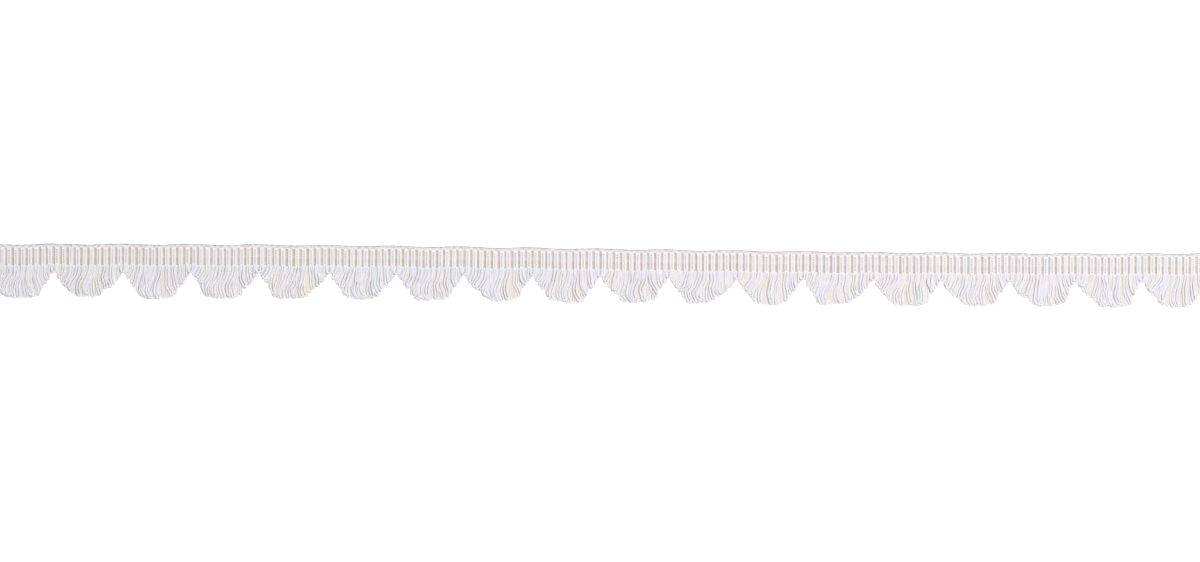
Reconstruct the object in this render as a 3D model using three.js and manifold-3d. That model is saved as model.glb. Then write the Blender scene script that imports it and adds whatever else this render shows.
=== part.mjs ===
// Fan edge trim: a cut length of white cotton trimming, lying flat on its back.
// A woven heading of paired cords runs along the top edge, and below it the same
// cords run on as loops of uneven length that make a row of rounded fans.
// Millimetres. X runs along the trim, +Y towards its straight edge, +Z up.
import * as THREE from 'three'
import { mergeVertices } from 'three/addons/utils/BufferGeometryUtils.js'
import Module from 'manifold-3d'

const wasm = await Module()
wasm.setup()

// Driving dimensions
const FAN_REPEAT = 32
const RIBS_PER_FAN = 10
const LOOPS_PER_FAN = 8
const HEADING_WIDTH = 10.1
const YARN_WIDTH = 1.4
const YARN_HEIGHT = 1.3
const GAP = 0.3
const SMALLEST_STEP = 0.001

// Each row is one fan, from the left end of the trim to its right end.
// width is the fan's share of the trim's length, left and right are how far in from
// each side its rounded shoulders reach, drop is how far its longest loops hang below
// the straight edge, and lean is how far the tips of its middle loops lie to the right
// of their roots.
const FANS = [
  { width: 32.0, left: 11.5, right: 11.5, drop: 25.0, lean: -0.2 },
  { width: 32.6, left: 11.0, right: 14.0, drop: 24.8, lean: -0.4 },
  { width: 32.0, left: 11.0, right: 12.0, drop: 25.6, lean: -0.2 },
  { width: 31.8, left: 9.0, right: 13.5, drop: 25.2, lean: -0.4 },
  { width: 33.0, left: 9.0, right: 14.5, drop: 25.2, lean: -0.4 },
  { width: 31.6, left: 10.0, right: 14.0, drop: 25.2, lean: -0.3 },
  { width: 32.1, left: 11.5, right: 11.5, drop: 25.2, lean: -0.1 },
  { width: 32.1, left: 13.5, right: 11.5, drop: 25.4, lean: 0.1 },
  { width: 31.8, left: 10.0, right: 12.0, drop: 25.6, lean: 0.0 },
  { width: 32.2, left: 13.0, right: 13.0, drop: 25.4, lean: 0.2 },
  { width: 32.1, left: 10.0, right: 14.5, drop: 24.8, lean: 0.1 },
  { width: 31.0, left: 11.0, right: 12.0, drop: 25.0, lean: -0.1 },
  { width: 32.9, left: 9.5, right: 13.5, drop: 24.8, lean: -0.2 },
  { width: 32.1, left: 13.0, right: 11.0, drop: 25.2, lean: 0.3 },
  { width: 32.1, left: 14.0, right: 12.0, drop: 25.0, lean: 0.3 },
  { width: 31.0, left: 13.5, right: 8.5, drop: 24.6, lean: 0.5 },
  { width: 31.4, left: 13.5, right: 9.0, drop: 25.4, lean: 0.5 },
  { width: 32.0, left: 13.5, right: 12.0, drop: 25.2, lean: 0.3 },
]

const LENGTH = FANS.reduce((sum, fan) => sum + fan.width, 0)

// Where each fan starts along the trim, counted from the middle of its length
function fanStarts() {
  let next = -LENGTH / 2
  return FANS.map((fan) => {
    const start = next
    next += fan.width
    return start
  })
}

// The trim doesn't lie quite straight: one long shallow bend runs through it, and its
// edge rises a little wherever two fans meet.
const BEND_HEIGHT = 2.2
const BEND_LENGTH = 970
const EDGE_WAVE = 0.25

function lift(x) {
  const bend = -BEND_HEIGHT * Math.sin((2 * Math.PI * x) / BEND_LENGTH)
  const wave = EDGE_WAVE * Math.cos((2 * Math.PI * x) / FAN_REPEAT)
  return bend + wave
}

function eachPoint(geometry, move) {
  const position = geometry.attributes.position
  const point = new THREE.Vector3()
  for (let index = 0; index < position.count; index++) {
    point.fromBufferAttribute(position, index)
    move(point)
    position.setXYZ(index, point.x, point.y, point.z)
  }
  return geometry
}

// Solids made from closed geometry, and geometry made from solids
function solidOf(geometry) {
  geometry.deleteAttribute('normal')
  geometry.deleteAttribute('uv')
  const welded = mergeVertices(geometry)
  const mesh = new wasm.Mesh({
    numProp: 3,
    vertProperties: welded.attributes.position.array,
    triVerts: Uint32Array.from(welded.index.array),
  })
  return new wasm.Manifold(mesh)
}

function geometryOf(solid) {
  const mesh = solid.getMesh()
  const geometry = new THREE.BufferGeometry()
  geometry.setAttribute('position', new THREE.BufferAttribute(mesh.vertProperties, mesh.numProp))
  geometry.setIndex(new THREE.BufferAttribute(mesh.triVerts, 1))
  return geometry
}

// One solid of several, without the needless points that joining leaves on flat faces
function joined(solids) {
  return wasm.Manifold.union(solids).asOriginal().simplify(SMALLEST_STEP)
}

// A bar along the trim between two heights across it, bent as the trim lies
function bentBar(leftX, rightX, lowY, highY, thickness, pieces) {
  const bar = new THREE.BoxGeometry(rightX - leftX, highY - lowY, thickness, pieces, 1, 1)
  bar.translate((leftX + rightX) / 2, (lowY + highY) / 2, thickness / 2)
  return solidOf(eachPoint(bar, (point) => { point.y += lift(point.x) }))
}

// Heading: a thin ground, a ridge along the straight edge and a raised rib for each
// pair of cords, in one piece of cloth
const GROUND_THICKNESS = 1.0
const RIB_THICKNESS = 1.8
const RIB_FOOT_WIDTH = 2.5
const RIB_CREST_WIDTH = 1.5
const RIB_END_INSET = 0.3
const EDGE_RIDGE_WIDTH = 1.5
const EDGE_RIDGE_THICKNESS = 1.9
const BENDS_PER_FAN = 4

function rib(x) {
  const section = new THREE.Shape()
  section.moveTo(-RIB_FOOT_WIDTH / 2, GROUND_THICKNESS / 2)
  section.lineTo(RIB_FOOT_WIDTH / 2, GROUND_THICKNESS / 2)
  section.lineTo(RIB_FOOT_WIDTH / 2, GROUND_THICKNESS)
  section.lineTo(RIB_CREST_WIDTH / 2, RIB_THICKNESS)
  section.lineTo(-RIB_CREST_WIDTH / 2, RIB_THICKNESS)
  section.lineTo(-RIB_FOOT_WIDTH / 2, GROUND_THICKNESS)
  const length = HEADING_WIDTH - RIB_END_INSET - EDGE_RIDGE_WIDTH / 2
  const prism = new THREE.ExtrudeGeometry(section, { depth: length, bevelEnabled: false })
  prism.rotateX(Math.PI / 2)
  prism.translate(x, lift(x) - EDGE_RIDGE_WIDTH / 2, 0)
  return solidOf(prism)
}

function makeHeading(starts) {
  const bends = FANS.length * BENDS_PER_FAN
  const ground = bentBar(-LENGTH / 2, LENGTH / 2, -HEADING_WIDTH, 0, GROUND_THICKNESS, bends)
  const ridge = bentBar(-LENGTH / 2, LENGTH / 2, -EDGE_RIDGE_WIDTH, 0, EDGE_RIDGE_THICKNESS, bends)
  const ribs = []
  FANS.forEach((fan, index) => {
    for (let count = 0; count < RIBS_PER_FAN; count++) {
      ribs.push(rib(starts[index] + ((count + 0.5) * fan.width) / RIBS_PER_FAN))
    }
  })
  return joined([ground, ridge, ...ribs])
}

// Fans: loops of yarn whose roots run into a narrow strip beside the heading
const STRIP_DEPTH = 1.0
const STRIP_THICKNESS = 1.4
const STRIP_TOP = HEADING_WIDTH + GAP
const ROOT_DROP = STRIP_TOP + STRIP_DEPTH / 2
const VALLEY_DROP = 13.4
const TURN_STEPS = 4
const YARN_SWAY = 0.2
const SWAY_SPREAD = 6
const TIP_UNEVENNESS = 0.35

// How far the fan hangs below the straight edge, at a distance in from its left side
function dropAt(inset, fan) {
  const fromLeft = Math.min(1, inset / fan.left)
  const fromRight = Math.min(1, (fan.width - inset) / fan.right)
  const fullness = Math.sin((Math.min(fromLeft, fromRight) * Math.PI) / 2)
  return VALLEY_DROP + (fan.drop - VALLEY_DROP) * fullness
}

// The points down one leg of a loop, round its turn and up the other leg
function loopPath(middleX, turnRadius, tipDrop, tipShift) {
  const turnDrop = tipDrop - YARN_WIDTH / 2 - turnRadius
  const halfwayDrop = (ROOT_DROP + turnDrop) / 2
  const halfwayShift = tipShift / 2 + YARN_SWAY * Math.sin(middleX / SWAY_SPREAD)
  const points = []
  points.push(new THREE.Vector2(middleX - turnRadius, -ROOT_DROP))
  points.push(new THREE.Vector2(middleX - turnRadius + halfwayShift, -halfwayDrop))
  for (let step = 0; step <= TURN_STEPS; step++) {
    const angle = Math.PI + (Math.PI * step) / TURN_STEPS
    const x = middleX + tipShift + turnRadius * Math.cos(angle)
    points.push(new THREE.Vector2(x, turnRadius * Math.sin(angle) - turnDrop))
  }
  points.push(new THREE.Vector2(middleX + turnRadius + halfwayShift, -halfwayDrop))
  points.push(new THREE.Vector2(middleX + turnRadius, -ROOT_DROP))
  return points
}

// A yarn with a flat back and a ridged top: a three-sided column laid along the path
const SIDES = 3
const CORNER_ACROSS = Math.sin((2 * Math.PI) / SIDES)
const CORNER_BELOW = Math.cos((2 * Math.PI) / SIDES)

function yarnAlong(path) {
  const steps = path.length - 1
  const column = new THREE.CylinderGeometry(1, 1, steps, SIDES, steps)
  return eachPoint(column, (point) => {
    const ring = Math.round(point.y + steps / 2)
    const before = path[Math.max(0, ring - 1)]
    const after = path[Math.min(steps, ring + 1)]
    const forward = after.clone().sub(before).normalize()
    const across = (point.x / CORNER_ACROSS) * (YARN_WIDTH / 2)
    const height = ((point.z - CORNER_BELOW) / (1 - CORNER_BELOW)) * YARN_HEIGHT
    const x = path[ring].x + forward.y * across
    const y = path[ring].y - forward.x * across
    point.set(x, y + lift(x), height)
  })
}

function makeFan(fan, start) {
  const left = start + GAP / 2
  const right = start + fan.width - GAP / 2
  const strip = bentBar(left, right, -STRIP_TOP - STRIP_DEPTH, -STRIP_TOP, STRIP_THICKNESS, BENDS_PER_FAN)
  const legSpacing = (right - left) / (2 * LOOPS_PER_FAN)
  const loops = []
  for (let count = 0; count < LOOPS_PER_FAN; count++) {
    const middleX = left + (2 * count + 1) * legSpacing
    const inset = middleX - start
    const longerLeg = Math.max(dropAt(inset - legSpacing / 2, fan), dropAt(inset + legSpacing / 2, fan))
    const tipDrop = longerLeg + TIP_UNEVENNESS * (2 * THREE.MathUtils.seededRandom() - 1)
    const tipShift = fan.lean * Math.sin((Math.PI * inset) / fan.width)
    loops.push(solidOf(yarnAlong(loopPath(middleX, legSpacing / 2, tipDrop, tipShift))))
  }
  return joined([strip, ...loops])
}

// The trim, with its origin under the middle of its box
const HEADING_COLOUR = '#e2dcd8'
const FAN_COLOUR = '#e6e4e5'
const UNEVENNESS_SEED = 7
const trim = new THREE.Group()

function addNode(name, solid, color) {
  const material = new THREE.MeshStandardMaterial({ color, roughness: 0.95, metalness: 0 })
  const mesh = new THREE.Mesh(geometryOf(solid), material)
  mesh.name = name
  trim.add(mesh)
}

THREE.MathUtils.seededRandom(UNEVENNESS_SEED)
const starts = fanStarts()
addNode('heading', makeHeading(starts), HEADING_COLOUR)
FANS.forEach((fan, index) => {
  const number = String(index + 1).padStart(2, '0')
  addNode(`fan_${number}`, makeFan(fan, starts[index]), FAN_COLOUR)
})

const box = new THREE.Box3().setFromObject(trim)
const middle = box.getCenter(new THREE.Vector3())
trim.position.set(-middle.x, -middle.y, -box.min.z)

export default trim
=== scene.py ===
# Fan edge trim, finished: a cut length of white cotton trimming that lies flat on its back.
# The heading is cords of two-ply yarn laid in pairs over a woven ground, held down by fine
# binding threads. Each fan is loops of the same yarn, combed into its outline and settled on
# the floor. Lengths are in millimetres until they reach a mesh, and "drop" is how far a point
# lies below the trim's straight edge.
import math

import bpy
import numpy as np
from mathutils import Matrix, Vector


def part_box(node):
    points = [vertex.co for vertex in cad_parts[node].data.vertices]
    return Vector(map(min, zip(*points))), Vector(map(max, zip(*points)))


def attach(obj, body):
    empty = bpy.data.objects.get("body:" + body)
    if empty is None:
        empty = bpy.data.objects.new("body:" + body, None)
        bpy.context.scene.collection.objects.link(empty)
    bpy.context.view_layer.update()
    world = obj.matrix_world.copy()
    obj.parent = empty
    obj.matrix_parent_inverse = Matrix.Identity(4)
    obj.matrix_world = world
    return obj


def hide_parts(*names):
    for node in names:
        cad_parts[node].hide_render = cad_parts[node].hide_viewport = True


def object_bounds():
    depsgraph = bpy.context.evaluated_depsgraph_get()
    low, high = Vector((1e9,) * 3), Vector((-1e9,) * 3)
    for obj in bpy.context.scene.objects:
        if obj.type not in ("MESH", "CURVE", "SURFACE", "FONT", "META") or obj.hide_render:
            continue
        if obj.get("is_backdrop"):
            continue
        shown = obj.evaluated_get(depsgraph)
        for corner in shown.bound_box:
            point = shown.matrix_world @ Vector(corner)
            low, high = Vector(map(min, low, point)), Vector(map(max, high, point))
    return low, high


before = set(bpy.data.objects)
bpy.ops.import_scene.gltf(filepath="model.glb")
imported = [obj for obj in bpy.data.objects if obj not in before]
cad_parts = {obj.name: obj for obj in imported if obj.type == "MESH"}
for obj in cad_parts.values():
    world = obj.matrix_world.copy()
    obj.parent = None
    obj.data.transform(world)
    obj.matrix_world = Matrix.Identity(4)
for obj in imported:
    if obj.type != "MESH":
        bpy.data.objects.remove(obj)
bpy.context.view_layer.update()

MM = 0.001
SEED = 11
rng = np.random.default_rng(SEED)

# Driving dimensions. Flatness is height as a share of width, and pitch is the length in which
# a yarn turns once.
RIBS_PER_FAN = 10
FAN_GAP = 0.3
HEADING_WIDTH = 10.1
YARN_RADII = (0.46, 0.62)
UNDER_YARN_RADIUS = 0.6
YARN_FLATNESS = 0.74
YARN_PITCH = 3.8
CORD_RADIUS = 0.72
CORD_FLATNESS = 0.74
CORD_SPACING = 1.06
CORD_HEIGHT = 1.0
FIBRE_CLEARANCE = 0.03

# How far apart the rings of points along a yarn are
RING_STEP = 0.38
UNDER_RING_STEP = 0.5
CORD_RING_STEP = 0.44
BINDER_RING_STEP = 0.75 * RING_STEP
EDGE_RING_STEP = 0.4

# The lie of the trim: one long shallow bend, and an edge that rises where two fans meet
BEND_HEIGHT = 2.2
BEND_LENGTH = 970.0
EDGE_WAVE = 0.25
FAN_REPEAT = 32.0

# One row for each fan, from the left end to the right end. left and right are how wide its
# shorter shoulders are, drop is where the long yarns between them end, and tilt is how much
# further down they end at the fan's right side than at its left. lean turns all of its yarns,
# in degrees, to the right where it is above 0. wave is how strongly its yarns wander.
FANS = [
    {"left": 7.0, "right": 6.2, "drop": 25.7, "tilt": 0.0, "lean": 2.0, "wave": 1.0},
    {"left": 7.0, "right": 9.6, "drop": 25.3, "tilt": 2.5, "lean": -2.0, "wave": 1.2},
    {"left": 7.3, "right": 6.9, "drop": 26.1, "tilt": 0.0, "lean": 2.0, "wave": 1.0},
    {"left": 5.4, "right": 7.1, "drop": 25.8, "tilt": 0.0, "lean": -3.0, "wave": 1.0},
    {"left": 5.8, "right": 8.7, "drop": 25.7, "tilt": 0.0, "lean": -3.0, "wave": 1.3},
    {"left": 6.3, "right": 7.8, "drop": 25.6, "tilt": 0.0, "lean": 1.0, "wave": 1.0},
    {"left": 6.8, "right": 6.4, "drop": 25.7, "tilt": 0.0, "lean": 0.0, "wave": 1.0},
    {"left": 9.0, "right": 6.2, "drop": 25.7, "tilt": 0.0, "lean": 0.5, "wave": 0.9},
    {"left": 6.5, "right": 6.9, "drop": 26.0, "tilt": 2.0, "lean": -3.0, "wave": 0.9},
    {"left": 8.3, "right": 5.9, "drop": 25.5, "tilt": 0.0, "lean": 3.0, "wave": 1.5},
    {"left": 6.9, "right": 8.8, "drop": 25.2, "tilt": -3.0, "lean": -3.5, "wave": 1.7},
    {"left": 6.8, "right": 7.0, "drop": 25.5, "tilt": 0.0, "lean": -2.5, "wave": 0.9},
    {"left": 6.5, "right": 8.1, "drop": 25.0, "tilt": -4.0, "lean": -1.5, "wave": 1.5},
    {"left": 7.7, "right": 5.6, "drop": 25.6, "tilt": 0.0, "lean": -1.5, "wave": 1.3},
    {"left": 9.4, "right": 6.1, "drop": 25.4, "tilt": 0.0, "lean": 3.0, "wave": 1.0},
    {"left": 9.4, "right": 4.0, "drop": 25.2, "tilt": 0.0, "lean": 5.0, "wave": 1.1},
    {"left": 9.3, "right": 4.2, "drop": 25.8, "tilt": 0.0, "lean": 3.0, "wave": 1.0},
    {"left": 7.7, "right": 7.0, "drop": 25.8, "tilt": 0.0, "lean": -4.0, "wave": 1.0},
]


def lift(x):
    """How far the trim's straight edge lies above its mean line, by place along the trim."""
    bend = -BEND_HEIGHT * np.sin(2 * np.pi * x / BEND_LENGTH)
    return bend + EDGE_WAVE * np.cos(2 * np.pi * x / FAN_REPEAT)


# Places taken from the frame
EDGE_SAMPLES = 2000
heading_low, heading_high = (np.array(corner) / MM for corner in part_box("heading"))
TRIM_LEFT = heading_low[0]
TRIM_RIGHT = heading_high[0]
EDGE_Y = heading_high[1] - lift(np.linspace(TRIM_LEFT, TRIM_RIGHT, EDGE_SAMPLES)).max()


def fan_name(index):
    return f"fan_{index + 1:02d}"


for index, fan in enumerate(FANS):
    low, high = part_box(fan_name(index))
    fan["start"] = low[0] / MM - FAN_GAP / 2
    fan["width"] = (high[0] - low[0]) / MM + FAN_GAP
    rib_pitch = fan["width"] / RIBS_PER_FAN
    fan["ribs"] = fan["start"] + rib_pitch * (np.arange(RIBS_PER_FAN) + 0.5)

RIBS = np.concatenate([fan["ribs"] for fan in FANS])


def placed(line):
    """Points given as (x, drop, height) along the trim, in the row frame."""
    line = np.asarray(line, float)
    y = EDGE_Y + lift(line[:, 0]) - line[:, 1]
    return np.column_stack([line[:, 0], y, line[:, 2]])


# Yarn: a tube whose section has two lobes, for the two plies, and turns along the line. The
# waist between the lobes is a share of their reach: narrow on the cores and the edge cords,
# wider on loops and on the heading's cords. The binding threads have none.
ROUND_SIDES = 8
YARN_SIDES = 6
THREAD_SIDES = 4
FINE_WAIST = 0.8
YARN_WAIST = 0.86
CORD_WAIST = 0.94
NO_WAIST = 1.0
UNFLATTENED = 1.0
NEAR_UPRIGHT = 0.9
END_RING_SHARE = 0.6
END_RING_REACH = 0.35


def smooth_line(points, step):
    """The line through the points as a smooth curve, with points about step apart."""
    lengths = np.linalg.norm(np.diff(points, axis=0), axis=1)
    along = np.concatenate([[0], np.cumsum(lengths)])
    slopes = np.gradient(points, along, axis=0)
    count = max(2, round(along[-1] / step) + 1)
    wanted = np.linspace(0, along[-1], count)
    before = np.clip(np.searchsorted(along, wanted, side="right") - 1, 0, len(along) - 2)
    span = (along[before + 1] - along[before])[:, None]
    share = ((wanted - along[before])[:, None]) / span
    start_weight = 2 * share**3 - 3 * share**2 + 1
    end_weight = 3 * share**2 - 2 * share**3
    leaving = (share**3 - 2 * share**2 + share) * span * slopes[before]
    arriving = (share**3 - share**2) * span * slopes[before + 1]
    return start_weight * points[before] + end_weight * points[before + 1] + leaving + arriving


def directions(line):
    """Side and up directions for each ring, turned from ring to ring as little as can be."""
    forward = np.gradient(line, axis=0)
    forward /= np.linalg.norm(forward, axis=1)[:, None]
    up = np.array([0.0, 0.0, 1.0])
    if abs(forward[0] @ up) > NEAR_UPRIGHT:
        up = np.array([0.0, 1.0, 0.0])
    ups = np.empty_like(line)
    for index, way in enumerate(forward):
        up = up - way * (up @ way)
        up = up / math.sqrt(up @ up)
        ups[index] = up
    return np.cross(forward, ups), ups


def with_round_ends(rings, line, radius, tint):
    """The rings and their tints, with one more, smaller ring a little further out at each end."""
    first_way = (line[0] - line[1]) / np.linalg.norm(line[0] - line[1])
    last_way = (line[-1] - line[-2]) / np.linalg.norm(line[-1] - line[-2])
    first = line[0] + END_RING_SHARE * (rings[0] - line[0])
    first = first + first_way * radius[0] * END_RING_REACH
    last = line[-1] + END_RING_SHARE * (rings[-1] - line[-1])
    last = last + last_way * radius[-1] * END_RING_REACH
    rings = np.concatenate([first[None], rings, last[None]])
    return rings, np.concatenate([tint[:1], tint, tint[-1:]])


class Spool:
    """Gathers tubes that become one mesh."""

    def __init__(self):
        self.points = []
        self.quads = []
        self.tints = []
        self.count = 0

    def add(self, line, radius, tint, flatness, sides, waist, pitch=YARN_PITCH, turn=0.0):
        """A tube along the line. radius and tint are one number, or one for each point of the
        line, and turn is the angle at which its section starts."""
        radius = np.broadcast_to(np.asarray(radius, float), (len(line),))
        tint = np.broadcast_to(np.asarray(tint, float), (len(line),))
        side, up = directions(line)
        lengths = np.linalg.norm(np.diff(line, axis=0), axis=1)
        along = np.concatenate([[0], np.cumsum(lengths)])
        turned = turn + 2 * np.pi * along / pitch
        corners = np.arange(sides) * 2 * np.pi / sides
        lobes = 1 - (1 - waist) * np.sin(corners) ** 2
        angles = corners[None, :] + turned[:, None]
        reach = radius[:, None] * lobes[None, :]
        offsets = side[:, None, :] * (np.cos(angles) * reach)[..., None]
        offsets = offsets + up[:, None, :] * (np.sin(angles) * reach)[..., None]
        offsets[..., 2] *= flatness
        rings = line[:, None, :] + offsets
        rings, tint = with_round_ends(rings, line, radius, tint)
        self.join_rings(rings, tint, sides)

    def join_rings(self, rings, tint, sides):
        """Quads between neighbouring rings and across both ends."""
        count = len(rings)
        ring = np.arange(count - 1)[:, None] * sides
        corner = np.arange(sides)[None, :]
        following = (corner + 1) % sides
        quads = np.stack(
            [ring + corner, ring + following, ring + sides + following, ring + sides + corner],
            axis=-1,
        ).reshape(-1, 4)
        pairs = np.arange(1, sides - 1, 2)
        cap = np.stack([np.zeros_like(pairs), pairs, pairs + 1, pairs + 2], axis=-1)
        last_cap = cap + (count - 1) * sides
        quads = np.concatenate([quads, cap[:, ::-1], last_cap])
        self.quads.append(quads + self.count)
        self.points.append(rings.reshape(-1, 3))
        self.tints.append(np.repeat(tint, sides))
        self.count += count * sides

    def wound_off(self, name, material):
        """One object of all the tubes."""
        points = np.concatenate(self.points)
        quads = np.concatenate(self.quads)
        tints = np.concatenate(self.tints)
        return mesh_object(name, points, quads, tints, material)


def mesh_object(name, points, quads, tints, material):
    """A smooth mesh of quads in the row frame, from points in millimetres."""
    mesh = bpy.data.meshes.new(name)
    mesh.vertices.add(len(points))
    mesh.vertices.foreach_set("co", (points * MM).astype(np.float32).ravel())
    mesh.loops.add(quads.size)
    mesh.loops.foreach_set("vertex_index", quads.astype(np.int32).ravel())
    mesh.polygons.add(len(quads))
    mesh.polygons.foreach_set("loop_start", np.arange(0, quads.size, 4, dtype=np.int32))
    mesh.update(calc_edges=True)
    mesh.validate()
    mesh.shade_smooth()
    attribute = mesh.attributes.new("tint", "FLOAT", "POINT")
    attribute.data.foreach_set("value", tints.astype(np.float32))
    mesh.materials.append(material)
    piece = bpy.data.objects.new(name, mesh)
    bpy.context.scene.collection.objects.link(piece)
    return piece


# Materials. Mottle is how much darker the darkest fibres are than the lightest, as a share.
COTTON_ROUGHNESS = 0.92
COTTON_SPECULAR = 0.15
FIBRE_SIZE = 0.22
FIBRE_DETAIL = 2.0
FIBRE_DEPTH = 0.05
FIBRE_BUMP = 0.6
FIBRE_RANGE = (0.3, 0.7)
MOTTLE = 0.05
GROUND_MOTTLE = 0.1


def set_inputs(node, values):
    """Gives the node's inputs their values, by name."""
    for name, value in values.items():
        node.inputs[name].default_value = value


def cotton(name, at_zero, at_one, mottle=MOTTLE):
    """Matt cotton, whose colour is at_zero where a piece's tint is 0 and at_one where it is 1."""
    material = bpy.data.materials.new(name)
    material.use_nodes = True
    tree = material.node_tree
    shader = tree.nodes["Principled BSDF"]
    set_inputs(
        shader,
        {
            "Roughness": COTTON_ROUGHNESS,
            "Specular IOR Level": COTTON_SPECULAR,
            "Diffuse Roughness": 1.0,
        },
    )
    tint = tree.nodes.new("ShaderNodeAttribute")
    tint.attribute_name = "tint"
    colour = tree.nodes.new("ShaderNodeMix")
    colour.data_type = "RGBA"
    set_inputs(colour, {"A": (*at_zero, 1), "B": (*at_one, 1)})
    tree.links.new(tint.outputs["Fac"], colour.inputs["Factor"])
    place = tree.nodes.new("ShaderNodeTexCoord")
    fibres = tree.nodes.new("ShaderNodeTexNoise")
    set_inputs(fibres, {"Scale": 1 / (FIBRE_SIZE * MM), "Detail": FIBRE_DETAIL})
    tree.links.new(place.outputs["Object"], fibres.inputs["Vector"])
    shade = tree.nodes.new("ShaderNodeMapRange")
    set_inputs(
        shade,
        {
            "From Min": FIBRE_RANGE[0],
            "From Max": FIBRE_RANGE[1],
            "To Min": 1 - mottle,
            "To Max": 1.0,
        },
    )
    tree.links.new(fibres.outputs["Fac"], shade.inputs["Value"])
    mottled = tree.nodes.new("ShaderNodeVectorMath")
    mottled.operation = "SCALE"
    tree.links.new(colour.outputs["Result"], mottled.inputs[0])
    tree.links.new(shade.outputs["Result"], mottled.inputs["Scale"])
    tree.links.new(mottled.outputs["Vector"], shader.inputs["Base Color"])
    bump = tree.nodes.new("ShaderNodeBump")
    set_inputs(bump, {"Strength": FIBRE_BUMP, "Distance": FIBRE_DEPTH * MM})
    tree.links.new(fibres.outputs["Fac"], bump.inputs["Height"])
    tree.links.new(bump.outputs["Normal"], shader.inputs["Normal"])
    return material


heading_cotton = cotton(
    "heading_cotton",
    at_zero=(0.888, 0.876, 0.9),
    at_one=(0.868, 0.825, 0.795),
)
# Loop cotton: cool white at tint 0 and a warm cream at tint 1, partly the yarn's own tone; on the
# loops lying under the others it is painted shade.
loop_cotton = cotton(
    "loop_cotton",
    at_zero=(0.825, 0.823, 0.85),
    at_one=(0.872, 0.834, 0.778),
)
ground_cotton = cotton(
    "ground_cotton",
    at_zero=(0.73, 0.68, 0.65),
    at_one=(0.645, 0.52, 0.4),
    mottle=GROUND_MOTTLE,
)
# Thread cotton: the threads' own white at tint 0 and a dark grey at tint 1, which is painted
# shade on the dots in the rib grooves and along the edge cords.
thread_cotton_painted_shade = cotton(
    "thread_cotton_painted_shade",
    at_zero=(0.84, 0.82, 0.82),
    at_one=(0.32, 0.31, 0.33),
)

# Heading cords: each runs up beside one rib, turns at the straight edge and runs down beside
# the next. Their tint changes with drop, and they are pinched where a binding thread crosses.
TURN_DROP = 1.4
TURN_CORNER = 0.25
CORNER_POINTS = 4
CORD_POINT_STEP = 0.4
CORD_END_DROP = 10.4
CORD_TAPER = 0.8
CORD_END_THICKNESS = 0.6
CORD_TINT_DROPS = [1.4, 2.3, 4.5, 5.5, 6.5, 7.5, 8.5, 9.5]
CORD_TINTS = [0.2, 0.6, 0.6, 0.2, 0.2, 0.6, 0.5, 0.2]
CORD_TINT_SPREAD = (-0.2, 0.2)
CORD_THICKNESS_SPREAD = 0.02
CORD_HEIGHT_SPREAD = 0.03
RIB_SWAY = 0.07
BINDER_DROPS = [3.2, 4.3, 5.4, 6.4, 7.35, 8.2, 9.05]
BINDER_PINCH = 0.06
PINCH_LENGTH = 0.26

# The core of a rib lies in the groove between its two cords, and both of its ends dip down
CORE_RADIUS = 0.38
CORE_DROPS = (0.5, 12.4)
CORE_POINTS = 12
CORE_HEIGHT = 1.14
CORE_TINTS = (0, 0.5)


def cord_radius(drops):
    """The cords' radius by drop: a little less under each binding thread and at the end."""
    pinch = sum(np.exp(-(((drops - row) / PINCH_LENGTH) ** 2)) for row in BINDER_DROPS)
    taper = np.clip((CORD_END_DROP - drops) / CORD_TAPER, 0, 1)
    end = CORD_END_THICKNESS + (1 - CORD_END_THICKNESS) * taper
    return CORD_RADIUS * (1 - BINDER_PINCH * pinch) * end


def turned_cord(left_x, right_x):
    """The line of a cord: up beside one rib, over the gap and down beside the next."""
    low = TURN_DROP + TURN_CORNER
    angles = np.linspace(0, np.pi / 2, CORNER_POINTS)
    corner = [(TURN_CORNER * (1 - math.cos(a)), low - TURN_CORNER * math.sin(a)) for a in angles]
    straight = np.arange(CORD_END_DROP, low, -CORD_POINT_STEP)
    up = [(left_x, drop) for drop in straight]
    first = [(left_x + inward, drop) for inward, drop in corner]
    second = [(right_x - inward, drop) for inward, drop in reversed(corner)]
    down = [(right_x, drop) for drop in straight[::-1]]
    line = np.array(up + first + second + down)
    return np.column_stack([line, np.full(len(line), CORD_HEIGHT)])


def single_cord(x):
    """The line of the cord at a cut end of the trim, which has no next rib to turn to."""
    drops = np.arange(CORD_END_DROP, TURN_DROP, -CORD_POINT_STEP)
    return np.column_stack([np.full(len(drops), x), drops, np.full(len(drops), CORD_HEIGHT)])


def core_line(rib):
    drops = np.linspace(*CORE_DROPS, CORE_POINTS)
    heights = np.full(CORE_POINTS, CORE_HEIGHT)
    heights[0] -= CORE_RADIUS / 2
    heights[-1] -= CORE_RADIUS
    return np.column_stack([np.full(CORE_POINTS, rib), drops, heights])


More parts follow.
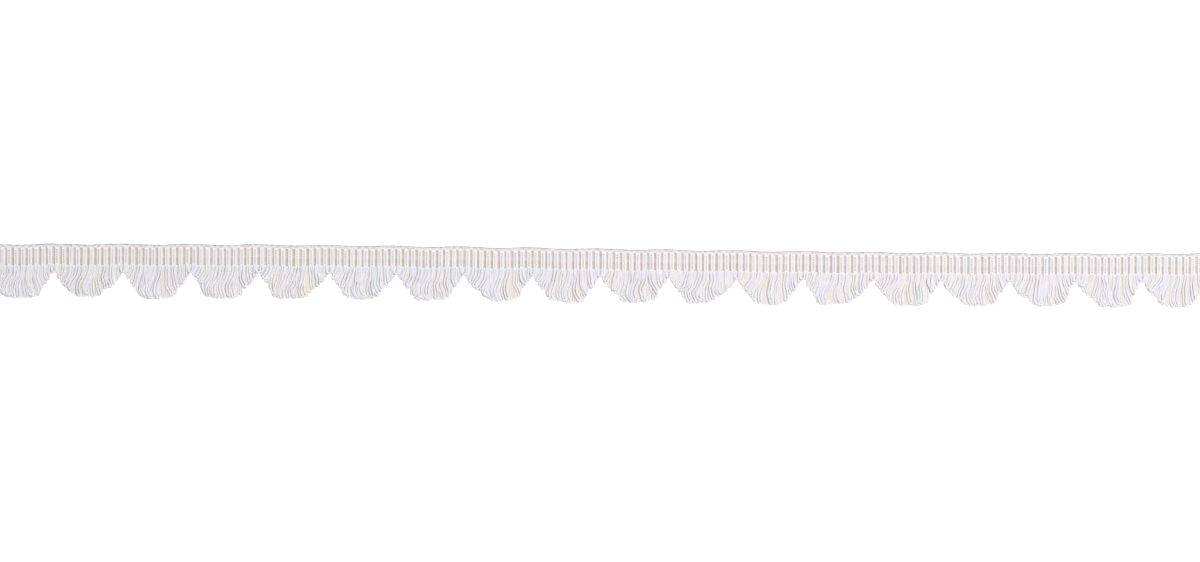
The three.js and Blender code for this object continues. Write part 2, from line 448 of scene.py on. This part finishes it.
def make_heading_cords():
    spool = Spool()
    half = CORD_SPACING / 2
    sway = rng.normal(0, RIB_SWAY, len(RIBS))
    ribs = RIBS + sway
    lines = [single_cord(ribs[0] - half)]
    for left_rib, right_rib in zip(ribs[:-1], ribs[1:], strict=True):
        lines.append(turned_cord(left_rib + half, right_rib - half))
    lines.append(single_cord(ribs[-1] + half))
    for line in lines:
        line = smooth_line(line, CORD_RING_STEP)
        thickness = rng.normal(1, CORD_THICKNESS_SPREAD)
        line[:, 2] += rng.normal(0, CORD_HEIGHT_SPREAD)
        spool.add(
            placed(line),
            thickness * cord_radius(line[:, 1]),
            rng.uniform(*CORD_TINT_SPREAD) + np.interp(line[:, 1], CORD_TINT_DROPS, CORD_TINTS),
            flatness=CORD_FLATNESS,
            sides=ROUND_SIDES,
            waist=CORD_WAIST,
            turn=rng.uniform(0, 2 * np.pi),
        )
    for rib in ribs:
        spool.add(
            placed(core_line(rib)),
            CORE_RADIUS,
            rng.uniform(*CORE_TINTS),
            flatness=CORD_FLATNESS,
            sides=YARN_SIDES,
            waist=FINE_WAIST,
        )
    return spool.wound_off("heading_cords", heading_cotton)


# Binding threads, which come up as a dot in the middle of each rib, painted dark grey there as
# the shade in the groove, and the ground under them, which has rows of points at these drops,
# each with its own tint
BINDER_RADIUS = 0.1
BINDER_RISE = 0.2
BINDER_SWAY = 0.05
DOT_RADIUS = 0.22
# How strong each rib's dot is: how thick the thread comes up in the groove and how dark grey it
# is painted there, as painted shade.
DOT_SIZES_AND_SHADES = (0.7, 1.3)
DOT_RISE = 0.38
DOT_REACH = 0.26
DOT_SIDE_DIP = 0.05
DOT_SIDE_SHARE = 0.6
GROUND_BOTTOM = 0.05
GROUND_THICKNESS = 0.75
GROUND_COLUMNS_PER_RIB = 4
GROUND_DROPS = np.array([0.9, 1.5, 2.5, 4.0, 5.1, 6.2, 6.9, 7.8, 9.0, 10.0])
GROUND_TINTS = np.array([0.3, 0.3, 0.35, 0.45, 0.1, 0.1, 1.0, 0.9, 0.6, 0.3])
BACK_RIB_DEPTH = 0.12
GAP_TINT_SPREAD = 0.25


def binder_line(drop, dot_sizes_and_shades):
    """A binding thread: through the cords of each rib and down to the ground in each gap. Its
    last column says how plainly it comes up as a dot in the groove between the two cords: how
    thick it is there, and how dark grey it is painted there as painted shade in the groove."""
    half = CORD_SPACING / 2
    inside = CORD_HEIGHT + BINDER_RISE
    groove = CORD_HEIGHT + DOT_RISE
    low = GROUND_BOTTOM + GROUND_THICKNESS + BINDER_RADIUS / 2
    gaps = np.append((RIBS[:-1] + RIBS[1:]) / 2, TRIM_RIGHT)
    points = [(TRIM_LEFT, drop, low, 0)]
    for rib, gap, dot in zip(RIBS, gaps, dot_sizes_and_shades, strict=True):
        points += [
            (rib - half, drop, inside, 0),
            (rib - DOT_REACH, drop, groove - DOT_SIDE_DIP, DOT_SIDE_SHARE * dot),
            (rib, drop, groove, dot),
            (rib + DOT_REACH, drop, groove - DOT_SIDE_DIP, DOT_SIDE_SHARE * dot),
            (rib + half, drop, inside, 0),
            (gap, drop, low, 0),
        ]
    return np.array(points)


def make_binder_threads():
    spool = Spool()
    dot_sizes_and_shades = rng.uniform(*DOT_SIZES_AND_SHADES, len(RIBS))
    for drop in BINDER_DROPS:
        line = binder_line(drop, dot_sizes_and_shades)
        line[:, 1] += rng.normal(0, BINDER_SWAY, len(line))
        line = smooth_line(line, BINDER_RING_STEP)
        # The dot column sets the thread's thickness and paints it dark grey where it comes up in
        # the groove: painted shade.
        dot = np.clip(line[:, 3], 0, 1)
        radius = BINDER_RADIUS + (DOT_RADIUS - BINDER_RADIUS) * dot
        spool.add(
            placed(line[:, :3]),
            radius,
            dot,
            flatness=UNFLATTENED,
            sides=THREAD_SIDES,
            waist=NO_WAIST,
        )
    return spool.wound_off("binder_threads", thread_cotton_painted_shade)


def make_ground():
    """The woven ground under the cords: a thin closed strip with shallow ribs on its back."""
    columns = GROUND_COLUMNS_PER_RIB * len(RIBS) + 1
    x = np.linspace(TRIM_LEFT, TRIM_RIGHT, columns)
    drops, across = np.meshgrid(GROUND_DROPS, x, indexing="ij")
    phase = np.interp(x, RIBS, np.arange(len(RIBS)))
    ribbing = BACK_RIB_DEPTH * (1 - np.cos(2 * np.pi * phase)) / 2
    bottom_z = np.broadcast_to(GROUND_BOTTOM + ribbing, drops.shape)
    top_z = np.full(drops.shape, GROUND_BOTTOM + GROUND_THICKNESS)
    layers = [
        np.column_stack([across.ravel(), drops.ravel(), heights.ravel()])
        for heights in (top_z, bottom_z)
    ]
    points = placed(np.concatenate(layers))
    rows = len(GROUND_DROPS)
    at = np.arange(rows * columns).reshape(rows, columns)
    top = np.stack([at[:-1, :-1], at[1:, :-1], at[1:, 1:], at[:-1, 1:]], -1).reshape(-1, 4)
    below = rows * columns
    rim = np.concatenate([at[0, :], at[1:, -1], at[-1, -2::-1], at[-2:0:-1, 0]])
    after = np.roll(rim, -1)
    side = np.stack([rim, after, after + below, rim + below], -1)
    quads = np.concatenate([top, top[:, ::-1] + below, side])
    gap_tints = rng.uniform(-GAP_TINT_SPREAD, GAP_TINT_SPREAD, len(RIBS) + 1)
    tint = GROUND_TINTS[:, None] + gap_tints[np.floor(phase).astype(int)][None, :]
    tint = np.clip(tint, 0, 1).ravel()
    return mesh_object("heading_ground", points, quads, np.tile(tint, 2), ground_cotton)


# Edge cords, which the heading's cords turn round. Their tints give them the thread's grey in
# places: painted shade along the straight edge.
EDGE_CORDS = [
    {"drop": 0.44, "radius": 0.42, "height": 0.95, "tints": (0.2, 0.7)},
    {"drop": 1.2, "radius": 0.34, "height": 1.3, "tints": (0.0, 0.35)},
]
EDGE_UNEVENNESS = 0.14
EDGE_INSET = 0.3
EDGE_POINT_STEP = 0.8
EDGE_PITCH = 2.1


def make_edge_cords():
    spool = Spool()
    x = np.arange(TRIM_LEFT + EDGE_INSET, TRIM_RIGHT - EDGE_INSET, EDGE_POINT_STEP)
    for cord in EDGE_CORDS:
        drop = cord["drop"] + rng.uniform(0, EDGE_UNEVENNESS, len(x))
        tint = rng.uniform(*cord["tints"], len(x))
        heights = np.full(len(x), cord["height"])
        line = smooth_line(np.column_stack([x, drop, heights, tint]), EDGE_RING_STEP)
        spool.add(
            placed(line[:, :3]),
            cord["radius"],
            line[:, 3],
            flatness=UNFLATTENED,
            sides=ROUND_SIDES,
            waist=FINE_WAIST,
            pitch=EDGE_PITCH,
        )
    return spool.wound_off("edge_cords", thread_cotton_painted_shade)


# Outline of the fans: how far their shoulders hang down, by distance in from the fan's side,
# and how their long yarns are rounded off next to the shoulders. The whole outline is shifted a
# little to the right.
SHOULDER_INSETS = [0.0, 1.0, 2.0, 3.0, 4.0, 5.0, 6.0, 8.0]
SHOULDER_DROPS = [13.6, 15.0, 17.3, 18.6, 19.8, 20.7, 21.3, 21.8]
STEP_LENGTH = 1.0
ROUND_LENGTH = 4.0
ROUND_DEPTH = 1.2
OUTLINE_SHIFT = 0.25


def outline_drop(inset, fan):
    """How far the fan hangs below the straight edge, at a distance in from its left side."""
    inset = inset - OUTLINE_SHIFT
    from_right = fan["width"] - inset
    shoulder = np.interp(np.minimum(inset, from_right), SHOULDER_INSETS, SHOULDER_DROPS)
    past_step = np.minimum(inset - fan["left"], from_right - fan["right"])
    rounding = np.interp(past_step, [0, ROUND_LENGTH], [ROUND_DEPTH, 0])
    tilt = fan["tilt"] * (inset / fan["width"] - 0.5)
    long_yarns = fan["drop"] + tilt - rounding
    share = np.clip(past_step / STEP_LENGTH + 0.5, 0, 1)
    return shoulder + (long_yarns - shoulder) * share


# How the yarns of an ordinary fan are combed: how many degrees to the right of straight down
# they run, by their share of the way across the fan and by drop
COMB_SHARES = [0.1, 0.3, 0.5, 0.7, 0.9]
COMB_DROPS = [10.1, 11.5, 13.9, 16.2, 18.6, 20.9, 23.3]
COMB_DEGREES = [
    [0, 0, 0, 0, 0],
    [-6, -5, -4, -3, 2],
    [-30, -20, -14, -8, 8],
    [-30, -25, -20, 0, 18],
    [-12, -24, -16, 12, 22],
    [8, -5, 2, 18, 15],
    [25, 25, 24, 18, 5],
]


def combed(share, drop):
    """The ordinary direction of the yarns, in degrees to the right of straight down."""
    rows = [np.interp(share, COMB_SHARES, row) for row in COMB_DEGREES]
    return float(np.interp(drop, COMB_DROPS, rows))


# How the yarns of one fan wander from that: three waves, each by its length down the fan, how
# often it repeats across the fan, and its weight. The last one runs across alone.
WANDER_DEGREES = 13.0
WANDER_WAVES = [
    {"length": 9.0, "across": 0.9, "weight": 0.5},
    {"length": 5.5, "across": -1.7, "weight": 0.4},
    {"length": math.inf, "across": 2.3, "weight": 0.35},
]
TWIRL_LENGTH = 6.5


def fan_wander(strength):
    """A slow, smooth wandering of the yarns' direction over one fan."""
    phases = rng.uniform(0, 2 * np.pi, len(WANDER_WAVES))
    size = WANDER_DEGREES * strength

    def wander(share, drop):
        total = 0
        for wave, phase in zip(WANDER_WAVES, phases, strict=True):
            turns = drop / wave["length"] + wave["across"] * share
            total += wave["weight"] * math.sin(2 * math.pi * turns + phase)
        return size * total

    return wander


def loop_wander(over_fan, lean):
    """A loop's own wandering: that of its fan, its lean and a slow turning to and fro."""
    phase = rng.uniform(0, 2 * np.pi)

    def wander(share, drop):
        twirl = lean * math.sin(2 * math.pi * drop / TWIRL_LENGTH + phase)
        return over_fan(share, drop) + lean + twirl

    return wander


# Loops of a fan. Ranges named SHORTER say how much shorter than the outline a loop may be.
ROOT_DROP = 9.3
ROOT_HALF = 0.5
SPREAD_HALF = 0.62
SPREAD_LENGTH = 2.5
TIP_HALF_WIDTH = 0.62
TIP_SPREAD = (0.85, 1.15)
LOOP_DEGREES = 3.0
OVER_HEIGHTS = (1.2, 2.4)
OVER_SHORTER = (-0.15, 0.25)
OVER_TINTS = (0.0, 0.5)
SHORT_SHARE = 0.15
SHORTENING = (0.5, 1.5)
UNDER_LOOPS = 18
UNDER_ROOT_DROP = 10.3
UNDER_ROOT_HEIGHT = 1.0
UNDER_HEIGHT = 0.55
UNDER_LEAN = 1.0
UNDER_COMB = 0.15
UNDER_SHORTER = (-0.15, 0.15)
# The loops under the others take the warmer, darker end of the loop colour: painted shade between
# the yarns over them.
UNDER_SHADE_TINTS = (0.3, 0.8)
BETWEEN_LOOPS = 5
BETWEEN_HEIGHTS = (1.0, 1.6)
STRAYS_PER_FAN = 6
STRAY_HEIGHT = 2.0
STRAY_LEAN = 6.0
STRAY_OFFSET = 0.3
STRAY_SHORTER = (0, 1.2)


def new_loop(root, height, shorter, tint):
    """A loop's root and start on the heading, half-widths, heights, how much shorter than the
    outline it is, tint, thickness, direction and the step between its rings."""
    return {
        "root": root,
        "start": ROOT_DROP,
        "root_half": ROOT_HALF,
        "spread_half": SPREAD_HALF,
        "tip": TIP_HALF_WIDTH * rng.uniform(*TIP_SPREAD),
        "root_height": CORD_HEIGHT,
        "height": height,
        "shorter": shorter,
        "tint": tint,
        "radius": rng.uniform(*YARN_RADII),
        "lean": rng.normal(0, LOOP_DEGREES),
        "comb": 1.0,
        "ring_step": RING_STEP,
    }


def fan_loops(fan):
    """The loops of a fan. Those under lie straight and side by side, those over run on from
    the ribs or come up between them, and a few strays cross over all of these."""
    loops = []
    under_pitch = fan["width"] / UNDER_LOOPS
    quarter = under_pitch / 4
    for place in np.arange(UNDER_LOOPS) + 0.5:
        root = fan["start"] + under_pitch * place
        shorter = rng.uniform(*UNDER_SHORTER)
        under = new_loop(root, UNDER_HEIGHT, shorter, rng.uniform(*UNDER_SHADE_TINTS))
        under.update(start=UNDER_ROOT_DROP, root_half=quarter, root_height=UNDER_ROOT_HEIGHT)
        under.update(spread_half=quarter, tip=quarter, comb=UNDER_COMB, radius=UNDER_YARN_RADIUS)
        under.update(lean=rng.normal(0, UNDER_LEAN), ring_step=UNDER_RING_STEP)
        loops.append(under)
    for rib in fan["ribs"]:
        shorter = rng.uniform(*OVER_SHORTER)
        if rng.uniform() < SHORT_SHARE:
            shorter += rng.uniform(*SHORTENING)
        height = rng.uniform(*OVER_HEIGHTS)
        loops.append(new_loop(rib, height, shorter, rng.uniform(*OVER_TINTS)))
    gaps = (fan["ribs"][:-1] + fan["ribs"][1:]) / 2
    for gap in rng.choice(gaps, BETWEEN_LOOPS, replace=False):
        shorter = rng.uniform(*OVER_SHORTER)
        tint = rng.uniform(*OVER_TINTS)
        between = new_loop(gap, rng.uniform(*BETWEEN_HEIGHTS), shorter, tint)
        between.update(start=UNDER_ROOT_DROP, root_height=UNDER_ROOT_HEIGHT)
        loops.append(between)
    for _ in range(STRAYS_PER_FAN):
        root = rng.choice(fan["ribs"][1:-1]) + rng.uniform(-STRAY_OFFSET, STRAY_OFFSET)
        shorter = rng.uniform(*STRAY_SHORTER)
        stray = new_loop(root, STRAY_HEIGHT, shorter, rng.uniform(*OVER_TINTS))
        stray["lean"] = rng.normal(0, STRAY_LEAN)
        loops.append(stray)
    return loops


# Lines of the loops, traced down from their roots
TRACE_STEP = 0.25
NODE_STEP = 0.5
FREE_LENGTH = 5
SHORTEST_LEG = 3
STEEPEST = 1.2
TURN_POINTS = 5
RISE_LENGTH = 6.5


def loop_axis(fan, loop, wander):
    """The middle line of a loop, from its root to where it meets the fan's outline. It is free
    to lean and wander only once it is some way below the heading."""
    x, drop = loop["root"], loop["start"]
    comb = loop["comb"]
    axis = [(x, drop)]
    while drop < outline_drop(x - fan["start"], fan):
        share = (x - fan["start"]) / fan["width"]
        freedom = np.clip((drop - HEADING_WIDTH) / FREE_LENGTH, 0, 1)
        own_way = fan["lean"] + comb * wander(share, drop)
        angle = math.radians(comb * combed(share, drop) + freedom * own_way)
        x += TRACE_STEP * math.sin(angle)
        drop += TRACE_STEP * math.cos(angle)
        axis.append((x, drop))
    return np.array(axis)


def within_outline(leg, fan, loop):
    """The leg as far as its turn and thickness still have room inside the fan's outline."""
    inset = leg[:, 0] - fan["start"]
    ahead = outline_drop(inset + TRACE_STEP, fan)
    behind = outline_drop(inset - TRACE_STEP, fan)
    slope = np.clip((ahead - behind) / (2 * TRACE_STEP), -STEEPEST, STEEPEST)
    room = (loop["tip"] + loop["radius"]) * np.hypot(1, slope)
    past = leg[:, 1] > outline_drop(inset, fan) - loop["shorter"] - room
    length = int(np.argmax(past)) if past.any() else len(leg)
    return leg[: max(length, SHORTEST_LEG)]


def loop_line(fan, loop, axis):
    """Both legs of a loop and the turn between them, as (x, drop, height). Each leg has its own
    length, so that the turn lies along the outline."""
    ways = np.gradient(axis, axis=0)
    ways /= np.linalg.norm(ways, axis=1)[:, None]
    left = np.column_stack([-ways[:, 1], ways[:, 0]])
    run = TRACE_STEP * np.arange(len(axis))
    spread = min(SPREAD_LENGTH, run[-1] / 2)
    widths = [loop["root_half"], loop["spread_half"], loop["tip"]]
    half = np.interp(run, [0, spread, run[-1]], widths)
    left_leg = within_outline(axis + left * half[:, None], fan, loop)
    right_leg = within_outline(axis - left * half[:, None], fan, loop)
    middle = (left_leg[-1] + right_leg[-1]) / 2
    across = left_leg[-1] - middle
    out = np.array([across[1], -across[0]]) * loop["tip"] / np.linalg.norm(across)
    around = np.linspace(0, np.pi, TURN_POINTS + 2)[1:-1, None]
    turn = middle + np.cos(around) * across + np.sin(around) * out
    flat = np.concatenate([left_leg, turn, right_leg[::-1]])
    lengths = np.linalg.norm(np.diff(flat, axis=0), axis=1)
    along = np.concatenate([[0], np.cumsum(lengths)])
    from_end = np.minimum(along, along[-1] - along)
    rise = np.clip(from_end / RISE_LENGTH, 0, 1)
    heights = loop["root_height"] + (loop["height"] - loop["root_height"]) * rise
    return smooth_line(np.column_stack([flat, heights]), NODE_STEP)


# Settling: yarns that overlap are pushed apart, and all of them sink to the floor. Contact is
# how many radii apart the middles of two yarns are pushed, crowding is how much each contact of
# a point weakens its pushes, and recall is the share of its sideways shift that a point keeps
# in each round.
SETTLE_ROUNDS = 90
PAIRS_EVERY = 15
PAIR_REACH = 2.0
OWN_NEIGHBOURS = 4
CONTACT = 1.5
PUSH_SHARE = 0.5
CROWDING = 0.5
LINK_SHARE = 0.4
SINK = 0.015
SMOOTHING = 0.5
RECALL = 0.98
HELD_NODES = 2
SMALLEST_DISTANCE = 1e-6


def near_pairs(points, loop_of):
    """Pairs of points near enough to touch soon, apart from neighbours on one yarn."""
    squared = ((points[:, None, :] - points[None, :, :]) ** 2).sum(-1)
    first, second = np.nonzero(np.triu(squared < PAIR_REACH**2, 1))
    apart = (loop_of[first] != loop_of[second]) | (second - first > OWN_NEIGHBOURS)
    return first[apart], second[apart]


def pushes(points, first, second, spacing):
    """How far each point is pushed by those of its pairs that are closer than their spacing."""
    total = len(points)
    offset = points[second] - points[first]
    distance = np.maximum(np.linalg.norm(offset, axis=1), SMALLEST_DISTANCE)
    overlap = np.maximum(0, spacing - distance)
    push = offset * (PUSH_SHARE * overlap / distance)[:, None]
    touching = overlap > 0
    contacts = np.bincount(first[touching], minlength=total)
    contacts = contacts + np.bincount(second[touching], minlength=total)
    columns = [
        np.bincount(second, push[:, axis], total) - np.bincount(first, push[:, axis], total)
        for axis in range(3)
    ]
    return np.column_stack(columns) / np.maximum(1, CROWDING * contacts)[:, None]


def add_link_pulls(move, points, linked, rest_length):
    """Adds the pulls that keep neighbours on one yarn as far apart as they started."""
    link = points[linked + 1] - points[linked]
    length = np.linalg.norm(link, axis=1)
    pull = link * (LINK_SHARE * (length - rest_length) / length)[:, None]
    move[linked] += pull
    move[linked + 1] -= pull


def settle(lines, radii, low_x, high_x):
    """The lines after their yarns have been pushed clear of each other and have sunk. Heights
    are stretched meanwhile, because the yarns are flatter than they are wide."""
    counts = [len(line) for line in lines]
    points = np.concatenate(lines)
    points[:, 2] /= YARN_FLATNESS
    resting = points.copy()
    loop_of = np.repeat(np.arange(len(lines)), counts)
    radius = np.repeat(radii, counts)
    ends = np.cumsum(counts)
    starts = ends - counts
    held = np.zeros(len(points), bool)
    for start, end in zip(starts, ends, strict=True):
        held[start : start + HELD_NODES] = True
        held[end - HELD_NODES : end] = True
    inner = np.setdiff1d(np.arange(len(points)), np.concatenate([starts, ends - 1]))
    linked = np.nonzero(loop_of[:-1] == loop_of[1:])[0]
    rest_length = np.linalg.norm(points[linked + 1] - points[linked], axis=1)
    for settle_round in range(SETTLE_ROUNDS):
        if settle_round % PAIRS_EVERY == 0:
            first, second = near_pairs(points, loop_of)
            spacing = CONTACT * (radius[first] + radius[second]) / 2
        move = pushes(points, first, second, spacing)
        add_link_pulls(move, points, linked, rest_length)
        move[:, 2] -= SINK
        move[held] = 0
        shift = points + move - resting
        beside = (shift[inner - 1] + shift[inner + 1]) / 2
        shift[inner] = (1 - SMOOTHING) * shift[inner] + SMOOTHING * beside
        shift[:, :2] *= RECALL
        shift[held] = 0
        points = resting + shift
        points[:, 2] = np.maximum(points[:, 2], radius + FIBRE_CLEARANCE / YARN_FLATNESS)
        points[:, 0] = np.clip(points[:, 0], low_x + radius, high_x - radius)
    points[:, 2] *= YARN_FLATNESS
    return np.split(points, ends[:-1])


# Fans: their loops, and between each two of them one yarn that hangs from rib to rib
ROOT_THICKNESS = 0.95
ROOT_TAPER = 0.7
SIDE_OVERLAP = 0.15
BRIDGE_RADIUS = 0.5
BRIDGE_HALF = 1.07
BRIDGE_DROP = 12.4
BRIDGE_DEPTH = 1.1
BRIDGE_HEIGHT = 1.75
BRIDGE_UNEVENNESS = 0.15
BRIDGE_LEG_POINTS = 4
BRIDGE_TURN_POINTS = 7
PATCH_RINGS = 5
PATCH_TINT = 0.25


def bridge_line(x):
    """The yarn that hangs between two fans, from the last rib of one to the first of the next."""
    x = x + rng.normal(0, BRIDGE_UNEVENNESS)
    end = BRIDGE_DROP + rng.normal(0, BRIDGE_UNEVENNESS)
    down = np.linspace(ROOT_DROP, end, BRIDGE_LEG_POINTS, endpoint=False)
    rise = np.linspace(CORD_HEIGHT, BRIDGE_HEIGHT, BRIDGE_LEG_POINTS, endpoint=False)
    around = np.linspace(0, np.pi, BRIDGE_TURN_POINTS)
    left = np.column_stack([np.full(BRIDGE_LEG_POINTS, x - BRIDGE_HALF), down, rise])
    turn = np.column_stack(
        [
            x - BRIDGE_HALF * np.cos(around),
            end + BRIDGE_DEPTH * np.sin(around),
            np.full(BRIDGE_TURN_POINTS, BRIDGE_HEIGHT),
        ]
    )
    right_x = np.full(BRIDGE_LEG_POINTS, x + BRIDGE_HALF)
    right = np.column_stack([right_x, down[::-1], rise[::-1]])
    return np.concatenate([left, turn, right])


def patchy(count):
    """How the tint changes along a yarn of count rings."""
    places = np.arange(0, count + PATCH_RINGS, PATCH_RINGS)
    return np.interp(np.arange(count), places, rng.normal(0, PATCH_TINT, len(places)))


def make_fan(index, fan):
    over_fan = fan_wander(fan["wave"])
    loops = fan_loops(fan)
    lines = []
    for loop in loops:
        axis = loop_axis(fan, loop, loop_wander(over_fan, loop["lean"]))
        lines.append(loop_line(fan, loop, axis))
    radii = np.array([loop["radius"] for loop in loops])
    low_x = fan["start"] - SIDE_OVERLAP
    high_x = fan["start"] + fan["width"] + SIDE_OVERLAP
    settled = settle(lines, radii, low_x, high_x)
    spool = Spool()
    for line, loop in zip(settled, loops, strict=True):
        line = smooth_line(line, loop["ring_step"])
        grown = np.clip((line[:, 1] - loop["start"]) / ROOT_TAPER, 0, 1)
        thickness = loop["radius"] * (ROOT_THICKNESS + (1 - ROOT_THICKNESS) * grown)
        turn = rng.uniform(0, 2 * np.pi)
        spool.add(
            placed(line),
            thickness,
            loop["tint"] + patchy(len(line)),
            flatness=YARN_FLATNESS,
            sides=YARN_SIDES,
            waist=YARN_WAIST,
            turn=turn,
        )
    if index > 0:
        line = smooth_line(bridge_line(fan["start"]), RING_STEP)
        spool.add(
            placed(line),
            BRIDGE_RADIUS,
            patchy(len(line)),
            flatness=YARN_FLATNESS,
            sides=ROUND_SIDES,
            waist=YARN_WAIST,
        )
    return spool.wound_off(f"{fan_name(index)}_loops", loop_cotton)


heading_pieces = [make_heading_cords(), make_binder_threads(), make_edge_cords()]
ground = make_ground()
fan_pieces = [make_fan(index, fan) for index, fan in enumerate(FANS)]

for piece in [ground, *heading_pieces]:
    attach(piece, "root")
    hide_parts("heading")
for index, piece in enumerate(fan_pieces):
    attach(piece, "root")
    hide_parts(fan_name(index))

# Stage: a plain white floor, an even bright surround and a soft light from the upper right.
# Its sizes and places are in metres.
FLOOR_SIZE = 4.0
FLOOR_COLOUR = (0.96, 0.96, 0.96)
FLOOR_GLOW_COLOUR = (1.0, 1.0, 1.0)
FLOOR_GLOW = 0.35
SURROUND_COLOUR = (1.0, 0.99, 0.985)
SURROUND_STRENGTH = 0.35
LIGHT_COLOUR = (0.97, 0.97, 1.0)
LIGHT_POWER = 27.0
LIGHT_SIZE = 0.8
LIGHT_PLACE = (0.4, 0.3, 1.7)


def make_floor():
    half = FLOOR_SIZE / 2
    mesh = bpy.data.meshes.new("floor")
    corners = [(-half, -half, 0), (half, -half, 0), (half, half, 0), (-half, half, 0)]
    mesh.from_pydata(corners, [], [(0, 1, 2, 3)])
    material = bpy.data.materials.new("floor_white")
    material.use_nodes = True
    shader = material.node_tree.nodes["Principled BSDF"]
    set_inputs(
        shader,
        {
            "Base Color": (*FLOOR_COLOUR, 1),
            "Emission Color": (*FLOOR_GLOW_COLOUR, 1),
            "Emission Strength": FLOOR_GLOW,
            "Roughness": 1.0,
            "Specular IOR Level": 0.0,
        },
    )
    mesh.materials.append(material)
    floor = bpy.data.objects.new("floor", mesh)
    bpy.context.scene.collection.objects.link(floor)
    floor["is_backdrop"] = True


def make_lights():
    world = bpy.data.worlds.new("surround")
    world.use_nodes = True
    background = world.node_tree.nodes["Background"]
    set_inputs(background, {"Color": (*SURROUND_COLOUR, 1), "Strength": SURROUND_STRENGTH})
    bpy.context.scene.world = world
    data = bpy.data.lights.new("soft_light", "AREA")
    data.color = LIGHT_COLOUR
    data.energy = LIGHT_POWER
    data.size = LIGHT_SIZE
    light = bpy.data.objects.new("soft_light", data)
    light.location = LIGHT_PLACE
    light.rotation_euler = (-Vector(LIGHT_PLACE)).to_track_quat("-Z", "Y").to_euler()
    bpy.context.scene.collection.objects.link(light)


# Camera: straight above the trim. The view is as wide as the trim, less what its frame cuts
# off at both ends, and is centred a little below the middle of its straight edge.
VIEW_WIDTH = 564.5
VIEW_CENTRE_X = 1.08
VIEW_CENTRE_DROP = 15.7
CAMERA_HEIGHT = 2000.0
NEAREST = 100.0
FURTHEST = 10000.0
SENSOR_WIDTH = 36.0


def make_camera():
    data = bpy.data.cameras.new("camera")
    data.sensor_width = SENSOR_WIDTH
    data.lens = SENSOR_WIDTH * CAMERA_HEIGHT / VIEW_WIDTH
    data.clip_start = NEAREST * MM
    data.clip_end = FURTHEST * MM
    camera = bpy.data.objects.new("camera", data)
    y = EDGE_Y + lift(0.0) - VIEW_CENTRE_DROP
    camera.location = (VIEW_CENTRE_X * MM, y * MM, CAMERA_HEIGHT * MM)
    bpy.context.scene.collection.objects.link(camera)
    bpy.context.scene.camera = camera


make_floor()
make_lights()
make_camera()
bpy.context.scene.view_settings.view_transform = "Standard"

low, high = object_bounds()
